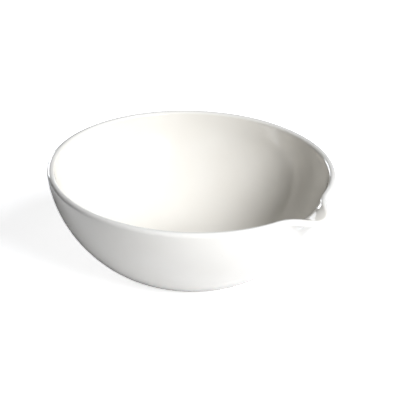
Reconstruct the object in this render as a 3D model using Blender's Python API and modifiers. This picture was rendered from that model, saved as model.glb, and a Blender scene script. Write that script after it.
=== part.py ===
"""Porcelain evaporating dish with one pressed pouring lip.

The dish is a single fired piece: a thin bowl on a small flat foot, with a rounded edge
that is pinched outwards at one place for pouring. Metres, +Z up. The origin is the centre
of the foot's resting face, and +X points out through the pouring lip.
"""
import math

import bpy
from mathutils import Vector
from mathutils.geometry import interpolate_bezier

# Bowl
RIM_RADIUS = 0.0450
RIM_HEIGHT = 0.0337
RIM_WALL = 0.0022
FOOT_RADIUS = 0.0126
FOOT_WALL = 0.0032

# The outer wall is one smooth curve from the rim's edge to the rim of the foot.
WALL_LEAN = math.radians(8.4)      # how far the wall leans outwards at the rim
WALL_STRAIGHTNESS = 0.0190         # length of the curve's handle at the rim
FOOT_FLATNESS = 0.0131             # length of the curve's handle at the foot

# Pouring lip, pressed out of the rim along +X
LIP_HALF_ANGLE = math.radians(18.5)
LIP_FULLNESS = 2.3                 # above 2, the lip is fuller in its middle
LIP_PINCH = 4.0                    # above 1, its sides draw in towards the middle
LIP_REACH = 0.0045
LIP_DROP = 0.0023
LIP_DEPTH = 0.0060                 # how far down the wall the pressing starts
LIP_CURL = 2.8                     # above 1, the lip curls out more towards its edge

# Mesh
WALL_ROWS = 20
WALL_CROWDING = 1.55               # above 1, the rows crowd towards the rim
SEGMENTS = 84
SEGMENT_CROWDING = 0.55            # the share by which segments crowd round the lip
EDGE_SEGMENTS = 4

PORCELAIN_COLOUR = (0.86, 0.85, 0.82, 1.0)
PORCELAIN_ROUGHNESS = 0.12


def clear_scene():
    for old in list(bpy.data.objects):
        bpy.data.objects.remove(old, do_unlink=True)


def new_collection(name):
    collection = bpy.data.collections.new(name)
    bpy.context.scene.collection.children.link(collection)
    return collection


def porcelain_material():
    material = bpy.data.materials.new("glazed_porcelain")
    material.use_nodes = True
    shader = material.node_tree.nodes["Principled BSDF"]
    shader.inputs["Base Color"].default_value = PORCELAIN_COLOUR
    shader.inputs["Roughness"].default_value = PORCELAIN_ROUGHNESS
    shader.inputs["Metallic"].default_value = 0.0
    return material


def wall_curve(count):
    """Points down the outside of the bowl, from the rim's edge to the edge of the foot."""
    lean_above_widest = RIM_WALL / 2 * math.tan(WALL_LEAN)
    rim = Vector((RIM_RADIUS + lean_above_widest, 0.0, RIM_HEIGHT))
    foot = Vector((FOOT_RADIUS, 0.0, 0.0))
    down_the_wall = Vector((-math.sin(WALL_LEAN), 0.0, -math.cos(WALL_LEAN)))
    rim_handle = rim + WALL_STRAIGHTNESS * down_the_wall
    foot_handle = foot + Vector((FOOT_FLATNESS, 0.0, 0.0))
    fine = interpolate_bezier(rim, rim_handle, foot_handle, foot, 401)
    shares = [(row / (count - 1)) ** WALL_CROWDING for row in range(count)]
    return [fine[round(share * (len(fine) - 1))] for share in shares]


def outside_profile():
    foot_ring = Vector((FOOT_RADIUS / 2, 0.0, 0.0))
    centre = Vector((0.0, 0.0, 0.0))
    return wall_curve(WALL_ROWS) + [foot_ring, centre]


def turned_bowl(collection):
    """The outside of the bowl as an open surface, before its lip is pressed."""
    points = outside_profile()
    profile = bpy.data.meshes.new("bowl_profile")
    edges = [(row, row + 1) for row in range(len(points) - 1)]
    profile.from_pydata(points, edges, [])
    blank = bpy.data.objects.new("bowl_blank", profile)
    collection.objects.link(blank)
    screw = blank.modifiers.new("Turn", "SCREW")
    screw.axis = "Z"
    screw.steps = SEGMENTS
    screw.render_steps = SEGMENTS
    screw.use_merge_vertices = True
    screw.merge_threshold = 0.00001
    screw.use_smooth_shade = True
    depsgraph = bpy.context.evaluated_depsgraph_get()
    surface = bpy.data.meshes.new_from_object(blank.evaluated_get(depsgraph))
    bpy.data.objects.remove(blank, do_unlink=True)
    return surface


def crowd_round_lip(point):
    """Slides a point round the axis, so that the segments are narrow at the lip."""
    angle = math.atan2(point.y, point.x)
    angle -= SEGMENT_CROWDING * math.sin(angle)
    radius = math.hypot(point.x, point.y)
    return Vector((radius * math.cos(angle), radius * math.sin(angle), point.z))


def press_lip(point):
    """Pushes a point of the wall out and down where the pouring lip is pressed."""
    across = abs(math.atan2(point.y, point.x)) / LIP_HALF_ANGLE
    widest_height = RIM_HEIGHT - RIM_WALL / 2
    up = 1.0 - (widest_height - point.z) / LIP_DEPTH
    if across >= 1.0 or up <= 0.0:
        return point
    strength = (1.0 - across ** LIP_FULLNESS) ** LIP_PINCH * min(up, 1.0) ** LIP_CURL
    return point + Vector((LIP_REACH * strength, 0.0, -LIP_DROP * strength))


def make_dish(collection):
    surface = turned_bowl(collection)
    surface.name = "dish"
    dish = bpy.data.objects.new("dish", surface)
    collection.objects.link(dish)
    wall = dish.vertex_groups.new(name="wall")
    for vertex in surface.vertices:
        share = vertex.co.z / RIM_HEIGHT
        thickness = FOOT_WALL + (RIM_WALL - FOOT_WALL) * share
        wall.add([vertex.index], thickness / FOOT_WALL, "REPLACE")
        vertex.co = press_lip(crowd_round_lip(vertex.co))
    solidify = dish.modifiers.new("Wall", "SOLIDIFY")
    solidify.thickness = FOOT_WALL
    solidify.offset = -1.0
    solidify.vertex_group = "wall"
    solidify.use_even_offset = True
    edge = dish.modifiers.new("Rounded edge", "BEVEL")
    edge.width = RIM_WALL * 0.46
    edge.segments = EDGE_SEGMENTS
    edge.limit_method = "ANGLE"
    edge.angle_limit = math.radians(50)
    surface.materials.append(porcelain_material())
    surface.shade_smooth()
    return dish


clear_scene()
make_dish(new_collection("evaporating_dish"))
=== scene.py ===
import math

import bpy
from mathutils import Matrix, Vector


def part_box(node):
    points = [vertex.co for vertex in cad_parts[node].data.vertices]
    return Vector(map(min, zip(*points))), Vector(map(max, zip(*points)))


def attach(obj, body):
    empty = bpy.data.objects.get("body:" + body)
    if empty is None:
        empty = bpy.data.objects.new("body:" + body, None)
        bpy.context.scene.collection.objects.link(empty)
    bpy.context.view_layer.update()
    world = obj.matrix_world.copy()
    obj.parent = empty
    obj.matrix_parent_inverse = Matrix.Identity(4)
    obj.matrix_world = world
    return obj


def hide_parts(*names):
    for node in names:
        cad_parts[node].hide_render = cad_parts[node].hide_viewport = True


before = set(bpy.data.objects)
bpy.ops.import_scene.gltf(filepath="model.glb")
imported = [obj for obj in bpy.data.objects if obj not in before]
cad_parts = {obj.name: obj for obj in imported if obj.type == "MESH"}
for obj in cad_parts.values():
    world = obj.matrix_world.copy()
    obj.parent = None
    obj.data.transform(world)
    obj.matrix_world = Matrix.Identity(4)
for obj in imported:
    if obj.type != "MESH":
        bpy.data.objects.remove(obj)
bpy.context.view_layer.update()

# The dish. It is one piece of hard porcelain, formed over a plaster mould as a thin bowl. While
# the clay was still wet, the pouring lip was pressed out of the rim with a fingertip. The foot is
# ground flat, and all the rest is covered by the glaze that was melted onto it in the kiln.
foot_centre = Vector((0.0, 0.0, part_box("dish")[0].z))
dish_sizes = {
    "Rim radius": 0.0450,
    "Rim height": 0.0337,
    "Rim wall": 0.0022,
    "Foot radius": 0.0126,
    "Foot wall": 0.0032,
    "Wall lean": math.radians(8.4),
    "Wall straightness": 0.0190,
    "Foot flatness": 0.0131,
    "Lip half angle": math.radians(18.5),
    "Lip fullness": 2.3,
    "Lip pinch": 4.0,
    "Lip reach": 0.0045,
    "Lip drop": 0.0023,
    "Lip depth": 0.0060,
    "Lip curl": 2.8,
    "Kiln warp": 0.00010,
    "Segments": 440,
    "Rows": 199,
}
SEGMENT_CROWDING = 0.55   # the share by which the segments crowd round the lip
ROW_CROWDING = 1.25       # above 1, the rows crowd towards the rim
RIM_SHARE = 0.09          # of the rows, those that go round the rounded rim
WALL_SHARE = 0.88         # of the other rows, those on the wall and not under the foot
STEP = 0.002              # how far apart two points are when a slope is measured
UNDER_FOOT = 0.999        # from here down, the face looks straight down
WAVES_PER_METRE = 38.0    # how close together the bumps of the kiln's warp are
SEAM = 0.000001           # the ends of the sheet that are closer than this are one point


class Wire:
    """A socket of a node tree that can stand in a Python expression."""

    def __init__(self, tree, socket=None):
        self.tree = tree
        self.socket = socket

    def node(self, kind, settings=None, inputs=None, output=0):
        """Adds a node, with its settings first and then the values or links of its sockets."""
        node = self.tree.nodes.new(kind)
        for name, value in (settings or {}).items():
            setattr(node, name, value)
        for key, value in (inputs or {}).items():
            if isinstance(value, Wire):
                self.tree.links.new(value.socket, node.inputs[key])
            else:
                node.inputs[key].default_value = value
        return Wire(self.tree, node.outputs[output])

    def maths(self, operation, *values):
        return self.node("ShaderNodeMath", {"operation": operation}, dict(enumerate(values)))

    def __add__(self, other):
        return self.maths("ADD", self, other)

    __radd__ = __add__

    def __sub__(self, other):
        return self.maths("SUBTRACT", self, other)

    def __rsub__(self, other):
        return self.maths("SUBTRACT", other, self)

    def __mul__(self, other):
        return self.maths("MULTIPLY", self, other)

    __rmul__ = __mul__

    def __truediv__(self, other):
        return self.maths("DIVIDE", self, other)

    def __pow__(self, other):
        return self.maths("POWER", self, other)

    def sine(self):
        return self.maths("SINE", self)

    def cosine(self):
        return self.maths("COSINE", self)

    def distance(self):
        return self.maths("ABSOLUTE", self)

    def above(self, limit):
        return self.maths("GREATER_THAN", self, limit)

    def limited(self, low=0.0, high=1.0):
        return self.node("ShaderNodeClamp", None, {0: self, 1: low, 2: high})

    def between(self, low, high):
        """0 at low and 1 at high, with a smooth rise from one to the other."""
        ends = {"Value": self, "From Min": low, "From Max": high}
        return self.node("ShaderNodeMapRange", {"interpolation_type": "SMOOTHSTEP"}, ends)

    def part(self, axis):
        return self.node("ShaderNodeSeparateXYZ", None, {0: self}, axis)

    def vector(self, operation, *values):
        operands = dict(enumerate((self, *values)))
        return self.node("ShaderNodeVectorMath", {"operation": operation}, operands)

    def scaled(self, factor):
        return self.node("ShaderNodeVectorMath", {"operation": "SCALE"}, {0: self, 3: factor})


def outer_face(size, angle, down):
    """A point on the outside of the dish.

    angle goes round the axis. down is 0 at the rim, 1 at the edge of the foot and 2 at the
    centre of the foot. The wall between is a Bezier curve.
    """
    along = down.limited()
    left = 1 - along
    under = (down - 1).limited()
    rim_height = size["Rim height"] - size["Rim wall"] / 2
    handle_radius = size["Rim radius"] - size["Wall straightness"] * size["Wall lean"].sine()
    handle_height = rim_height - size["Wall straightness"] * size["Wall lean"].cosine()
    foot_handle_radius = size["Foot radius"] + size["Foot flatness"]
    from_rim = left ** 3
    from_rim_handle = 3 * left ** 2 * along
    from_foot_handle = 3 * left * along ** 2
    radius = (from_rim * size["Rim radius"] + from_rim_handle * handle_radius
              + from_foot_handle * foot_handle_radius
              + (along ** 3 - under) * size["Foot radius"])
    height = from_rim * rim_height + from_rim_handle * handle_height
    side = (angle.distance() / size["Lip half angle"]).limited()
    middle = (1 - side ** size["Lip fullness"]) ** size["Lip pinch"]
    risen = (1 - (rim_height - height) / size["Lip depth"]).limited()
    pressed = middle * risen ** size["Lip curl"]
    return angle.node("ShaderNodeCombineXYZ", None, {
        "X": radius * angle.cosine() + pressed * size["Lip reach"],
        "Y": radius * angle.sine(),
        "Z": height - pressed * size["Lip drop"],
    })


def dish_tree(material):
    """The tree that makes the dish: a sheet of round by across, wrapped into a closed wall."""
    tree = bpy.data.node_groups.new("dish", "GeometryNodeTree")
    start = Wire(tree)
    identifiers = {}
    for label, value in dish_sizes.items():
        kind = "NodeSocketInt" if isinstance(value, int) else "NodeSocketFloat"
        item = tree.interface.new_socket(label, in_out="INPUT", socket_type=kind)
        identifiers[label] = item.identifier
    tree.interface.new_socket("Dish", in_out="OUTPUT", socket_type="NodeSocketGeometry")
    group_input = tree.nodes.new("NodeGroupInput")
    size = {label: Wire(tree, group_input.outputs[label]) for label in dish_sizes}

    sheet = start.node("GeometryNodeMeshGrid", None, {
        "Size X": 1.0, "Size Y": 1.0,
        "Vertices X": size["Segments"] + 1, "Vertices Y": size["Rows"],
    })
    place = start.node("GeometryNodeInputPosition")
    even_angle = place.part(0) * (2 * math.pi)
    angle = even_angle - even_angle.sine() * SEGMENT_CROWDING
    # across is -1 at the centre of the foot, 0 on the crest of the rim and 1 inside the bowl
    across = place.part(1) * 2
    share = ((across.distance() - RIM_SHARE) / (1 - RIM_SHARE)).limited()
    down = ((share / WALL_SHARE).limited() ** ROW_CROWDING
            + ((share - WALL_SHARE) / (1 - WALL_SHARE)).limited())

    point = outer_face(size, angle, down)
    round_slope = outer_face(size, angle + STEP, down).vector("SUBTRACT", point)
    down_slope = outer_face(size, angle, down + STEP).vector("SUBTRACT", point)
    off_wall = down_slope.vector("CROSS_PRODUCT", round_slope).vector("NORMALIZE")
    outwards = start.node("ShaderNodeMix", {"data_type": "VECTOR"}, {
        0: down.above(UNDER_FOOT), 4: off_wall, 5: (0.0, 0.0, -1.0)}, 1)
    upwards = down_slope.vector("NORMALIZE").scaled(-1)

    raised = (point.part(2) / size["Rim height"]).limited()
    wall = size["Foot wall"] + (size["Rim wall"] - size["Foot wall"]) * raised
    turn = ((across / RIM_SHARE).limited(-1.0, 1.0) + 1) * (math.pi / 2)
    inside = (1 - turn.cosine()) / 2
    crest = turn.sine()
    settled = point.vector("ADD", outwards.scaled(inside * wall * -1))
    settled = settled.vector("ADD", upwards.scaled(crest * wall / 2))

    mesh = sheet
    for name, value in (("inside", inside), ("crest", crest)):
        mesh = start.node("GeometryNodeStoreNamedAttribute", {"data_type": "FLOAT"}, {
            "Geometry": mesh, "Name": name, "Value": value})
    mesh = start.node("GeometryNodeSetPosition", None, {"Geometry": mesh, "Position": settled})
    mesh = start.node("GeometryNodeMergeByDistance", None, {"Geometry": mesh, "Distance": SEAM})
    waves = start.node("ShaderNodeTexNoise", None, {
        "Vector": start.node("GeometryNodeInputPosition"), "Scale": WAVES_PER_METRE, "Detail": 1.0})
    sway = start.node("GeometryNodeInputNormal").scaled((waves - 0.5) * size["Kiln warp"])
    height = start.node("GeometryNodeInputPosition").part(2)
    mesh = start.node("GeometryNodeSetPosition", None, {
        "Geometry": mesh, "Offset": sway.scaled(height.between(0.0, size["Rim height"] / 3))})
    mesh = start.node("GeometryNodeSetShadeSmooth", None, {"Geometry": mesh})
    mesh = start.node("GeometryNodeRealizeInstances", None, {"Geometry": mesh})
    mesh = start.node("GeometryNodeSetMaterial", None, {"Geometry": mesh, "Material": material})
    output = tree.nodes.new("NodeGroupOutput")
    tree.links.new(mesh.socket, output.inputs[0])
    return tree, identifiers


def new_material(name):
    """A material with nothing in it yet, and the wire that its nodes start from."""
    material = bpy.data.materials.new(name)
    material.use_nodes = True
    material.node_tree.nodes.clear()
    return material, Wire(material.node_tree)


def finish_material(shader):
    output = shader.tree.nodes.new("ShaderNodeOutputMaterial")
    shader.tree.links.new(shader.socket, output.inputs["Surface"])


def mixed(share, colour, other_colour):
    """colour where share is 0, and other_colour where it is 1."""
    return share.node("ShaderNodeMix", {"data_type": "RGBA"}, {
        0: share, 6: colour, 7: other_colour}, 2)


# The tints of the glaze go in pairs, as it lies a little thinner or thicker.
OUTER_GLAZE = (0.735, 0.712, 0.665, 1), (0.722, 0.697, 0.647, 1)
# The inside is tinted warmer than the outside: painted warm shade, standing in for light that
# shines warm through the thin wall and bounces between the bowl's sides.
INNER_GLAZE_PAINTED_WARMTH = (0.770, 0.740, 0.678, 1), (0.757, 0.724, 0.658, 1)
# Paler along the crest of the rim: a painted highlight, where the rounded rim catches the light.
CREST_PAINTED_HIGHLIGHT = (0.79, 0.775, 0.74, 1)
GROUND_BODY = (0.70, 0.68, 0.64, 1), (0.78, 0.76, 0.72, 1)
IRON = (0.36, 0.29, 0.22, 1)
GLAZE_LINE = 0.00015, 0.0004   # the heights between which the glaze ends above the foot
GLAZE_LINE_SWAY = 0.0004
SPECK_CELLS = 210.0            # cells to the metre, of which a few hold a speck
SPECK_RARITY = 0.955           # nearer to 1, fewer cells hold one
RING_PACE = 2900               # radians to the metre, from one turning ring to the next
SCRATCH_PACE = 5200


def glazed_porcelain():
    """Clear glaze over a white body, with painted warm shade inside and a painted highlight on the
    rim's crest, and a bare foot.
    """
    material, start = new_material("porcelain_glaze")
    place = start.node("ShaderNodeTexCoord", output="Object")
    height = place.part(2)
    radius = (place.part(0) ** 2 + place.part(1) ** 2) ** 0.5
    inside = start.node("ShaderNodeAttribute", {"attribute_name": "inside"}, output=2)
    crest = start.node("ShaderNodeAttribute", {"attribute_name": "crest"}, output=2)
    cloud = start.node("ShaderNodeTexNoise", None, {
        "Vector": place, "Scale": 60.0, "Detail": 3.0})

    # The foot was wiped bare and ground flat, and the glaze ends there in a wavy line.
    bare = 1 - (height + (cloud - 0.5) * GLAZE_LINE_SWAY).between(*GLAZE_LINE)
    stretched = start.node("ShaderNodeMapping", None, {
        "Vector": place, "Rotation": (0.0, 0.0, 0.6), "Scale": (350.0, 6000.0, 350.0)})
    grinding = start.node("ShaderNodeTexNoise", None, {
        "Vector": stretched, "Scale": 1.0, "Detail": 2.0})
    ground_body = mixed(grinding.between(0.35, 0.7), *GROUND_BODY)

    # A few specks of iron from the clay lie under the glaze.
    cells = {"Vector": place, "Scale": SPECK_CELLS}
    from_centre = start.node("ShaderNodeTexVoronoi", None, cells)
    cell_colour = start.node("ShaderNodeTexVoronoi", None, cells, 1)
    speck = cell_colour.part(0).above(SPECK_RARITY) * (1 - from_centre.between(0.02, 0.055))

    thickened = cloud.between(0.3, 0.7)
    outer_tint = mixed(thickened, *OUTER_GLAZE)
    inner_tint_painted_warmth = mixed(thickened, *INNER_GLAZE_PAINTED_WARMTH)
    # Painted warm shade: the inside of the bowl takes the warmer tint.
    tint = mixed(inside.between(0.55, 1.0), outer_tint, inner_tint_painted_warmth)
    # Painted highlight: the crest of the rim is made paler.
    tint = mixed(crest * 0.6, tint, CREST_PAINTED_HIGHLIGHT)
    tint = mixed(speck * 0.45, tint, IRON)
    tint = mixed(bare, tint, ground_body)

    # The turning left faint rings under the glaze, and glass rods left arcs of fine scratches.
    rings = (radius * RING_PACE + cloud * 5).sine()
    peel = start.node("ShaderNodeTexNoise", None, {
        "Vector": place, "Scale": 420.0, "Detail": 2.0})
    scratch_lines = start.node("ShaderNodeTexNoise", {"noise_dimensions": "1D"}, {
        "W": (radius + cloud * 0.0015) * SCRATCH_PACE, "Detail": 1.0})
    patches = start.node("ShaderNodeTexNoise", None, {"Vector": place, "Scale": 95.0})
    scratched = (scratch_lines.between(0.62, 0.72) * patches.between(0.52, 0.64)
                 * inside.between(0.9, 1.0))
    surface = peel + rings * 0.12 * (1 - bare) + bare * grinding * 1.5
    bump = start.node("ShaderNodeBump", None, {
        "Strength": 0.25, "Distance": 0.00005, "Height": surface})
    finish_material(start.node("ShaderNodeBsdfPrincipled", None, {
        "Base Color": tint,
        "Roughness": 0.09 + cloud * 0.05 + scratched * 0.16 + bare * 0.5,
        "Coat Weight": (1 - bare) * (1 - scratched) * 0.4,
        "Coat Roughness": 0.04,
        "Normal": bump,
    }))
    return material


dish_mesh_tree, identifiers = dish_tree(glazed_porcelain())
blank = bpy.data.objects.new("dish_blank", bpy.data.meshes.new("dish_blank"))
bpy.context.scene.collection.objects.link(blank)
modifier = blank.modifiers.new("Dish", "NODES")
modifier.node_group = dish_mesh_tree
for label, value in dish_sizes.items():
    modifier[identifiers[label]] = value
depsgraph = bpy.context.evaluated_depsgraph_get()
dish_mesh = bpy.data.meshes.new_from_object(blank.evaluated_get(depsgraph))
bpy.data.objects.remove(blank)
dish_mesh.materials.pop(index=0)   # the empty slot that Set Material leaves before its own
dish = bpy.data.objects.new("porcelain_dish", dish_mesh)
bpy.context.scene.collection.objects.link(dish)
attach(dish, "root")
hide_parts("dish")

# The floor. It is a plain pale sheet, large enough to fill the view from any side, and it glows
# a little to the viewer, so that it stays near white and the dish still leaves a soft shadow.
FLOOR_REACH = 3.0
FLOOR_GLOW = 0.8
floor_mesh = bpy.data.meshes.new("floor")
floor_corners = [(x * FLOOR_REACH, y * FLOOR_REACH, foot_centre.z)
                 for x, y in ((-1, -1), (1, -1), (1, 1), (-1, 1))]
floor_mesh.from_pydata(floor_corners, [], [(0, 1, 2, 3)])
floor = bpy.data.objects.new("floor", floor_mesh)
bpy.context.scene.collection.objects.link(floor)
floor_material, start = new_material("floor")
seen = start.node("ShaderNodeLightPath", output="Is Camera Ray")
finish_material(start.node("ShaderNodeBsdfPrincipled", None, {
    "Base Color": (0.9, 0.9, 0.9, 1), "Roughness": 0.9, "Specular IOR Level": 0.0,
    "Emission Color": mixed(seen, (0, 0, 0, 1), (1, 1, 1, 1)), "Emission Strength": FLOOR_GLOW}))
floor_mesh.materials.append(floor_material)

# The camera looks down into the dish, with the pouring lip at its right and a little forward.
VIEW_AZIMUTH = math.radians(37)
VIEW_ELEVATION = math.radians(26.5)
VIEW_ROLL = math.radians(1.7)
VIEW_DISTANCE = 0.630
LENS = 180.3
AIM_SIDEWAYS = 0.0029
AIM_HEIGHT = 0.0228
sideways = Vector((math.cos(VIEW_AZIMUTH), math.sin(VIEW_AZIMUTH), 0))
towards_viewer = Vector((math.sin(VIEW_AZIMUTH), -math.cos(VIEW_AZIMUTH), 0))
backwards = towards_viewer * math.cos(VIEW_ELEVATION) + Vector((0, 0, math.sin(VIEW_ELEVATION)))
upright = backwards.cross(sideways)
camera_right = sideways * math.cos(VIEW_ROLL) + upright * math.sin(VIEW_ROLL)
camera_up = upright * math.cos(VIEW_ROLL) - sideways * math.sin(VIEW_ROLL)
camera_data = bpy.data.cameras.new("camera")
camera_data.lens = LENS
camera_data.sensor_width = 36
camera = bpy.data.objects.new("camera", camera_data)
bpy.context.scene.collection.objects.link(camera)
aim = foot_centre + sideways * AIM_SIDEWAYS + Vector((0, 0, AIM_HEIGHT))
camera.matrix_world = (Matrix.Translation(aim + backwards * VIEW_DISTANCE)
                       @ Matrix((camera_right, camera_up, backwards)).transposed().to_4x4())
bpy.context.scene.camera = camera

# The light. Large round soft boxes stand at the right, in front and above, and two weak low
# ones behind only lift the edges of the far side.
BOX_DISTANCE = 0.8
DAYLIGHT = (0.975, 1.0, 1.045)


def soft_box(name, round_from_right, elevation, size, power):
    """round_from_right turns from the camera's right towards the viewer."""
    level = (sideways * math.cos(math.radians(round_from_right))
             + towards_viewer * math.sin(math.radians(round_from_right)))
    direction = level * math.cos(math.radians(elevation))
    direction.z = math.sin(math.radians(elevation))
    data = bpy.data.lights.new(name, "AREA")
    data.shape = "DISK"
    data.size = size
    data.energy = power
    data.color = DAYLIGHT
    light = bpy.data.objects.new(name, data)
    light.location = aim + direction * BOX_DISTANCE
    light.rotation_euler = direction.to_track_quat("Z", "Y").to_euler()
    bpy.context.scene.collection.objects.link(light)


soft_box("front_box", 53, 29, 0.30, 4.5)
soft_box("right_box", 38, 41, 0.30, 3.8)
soft_box("upper_box", 22, 53, 0.25, 1.9)
soft_box("rear_box", 240, 8, 0.30, 1.5)
soft_box("far_rear_box", 270, 8, 0.30, 0.36)
# The room gives hardly any light, and to the viewer it is as pale as the floor's far edge.
ROOM_LIGHT = 0.015
world = bpy.data.worlds.new("studio")
bpy.context.scene.world = world
world.use_nodes = True
room = world.node_tree.nodes["Background"]
room.inputs["Color"].default_value = (1, 1, 1, 1)
seen = Wire(world.node_tree).node("ShaderNodeLightPath", output="Is Camera Ray")
strength = seen * (FLOOR_GLOW - ROOM_LIGHT) + ROOM_LIGHT
world.node_tree.links.new(strength.socket, room.inputs["Strength"])
bpy.context.scene.view_settings.view_transform = "Standard"
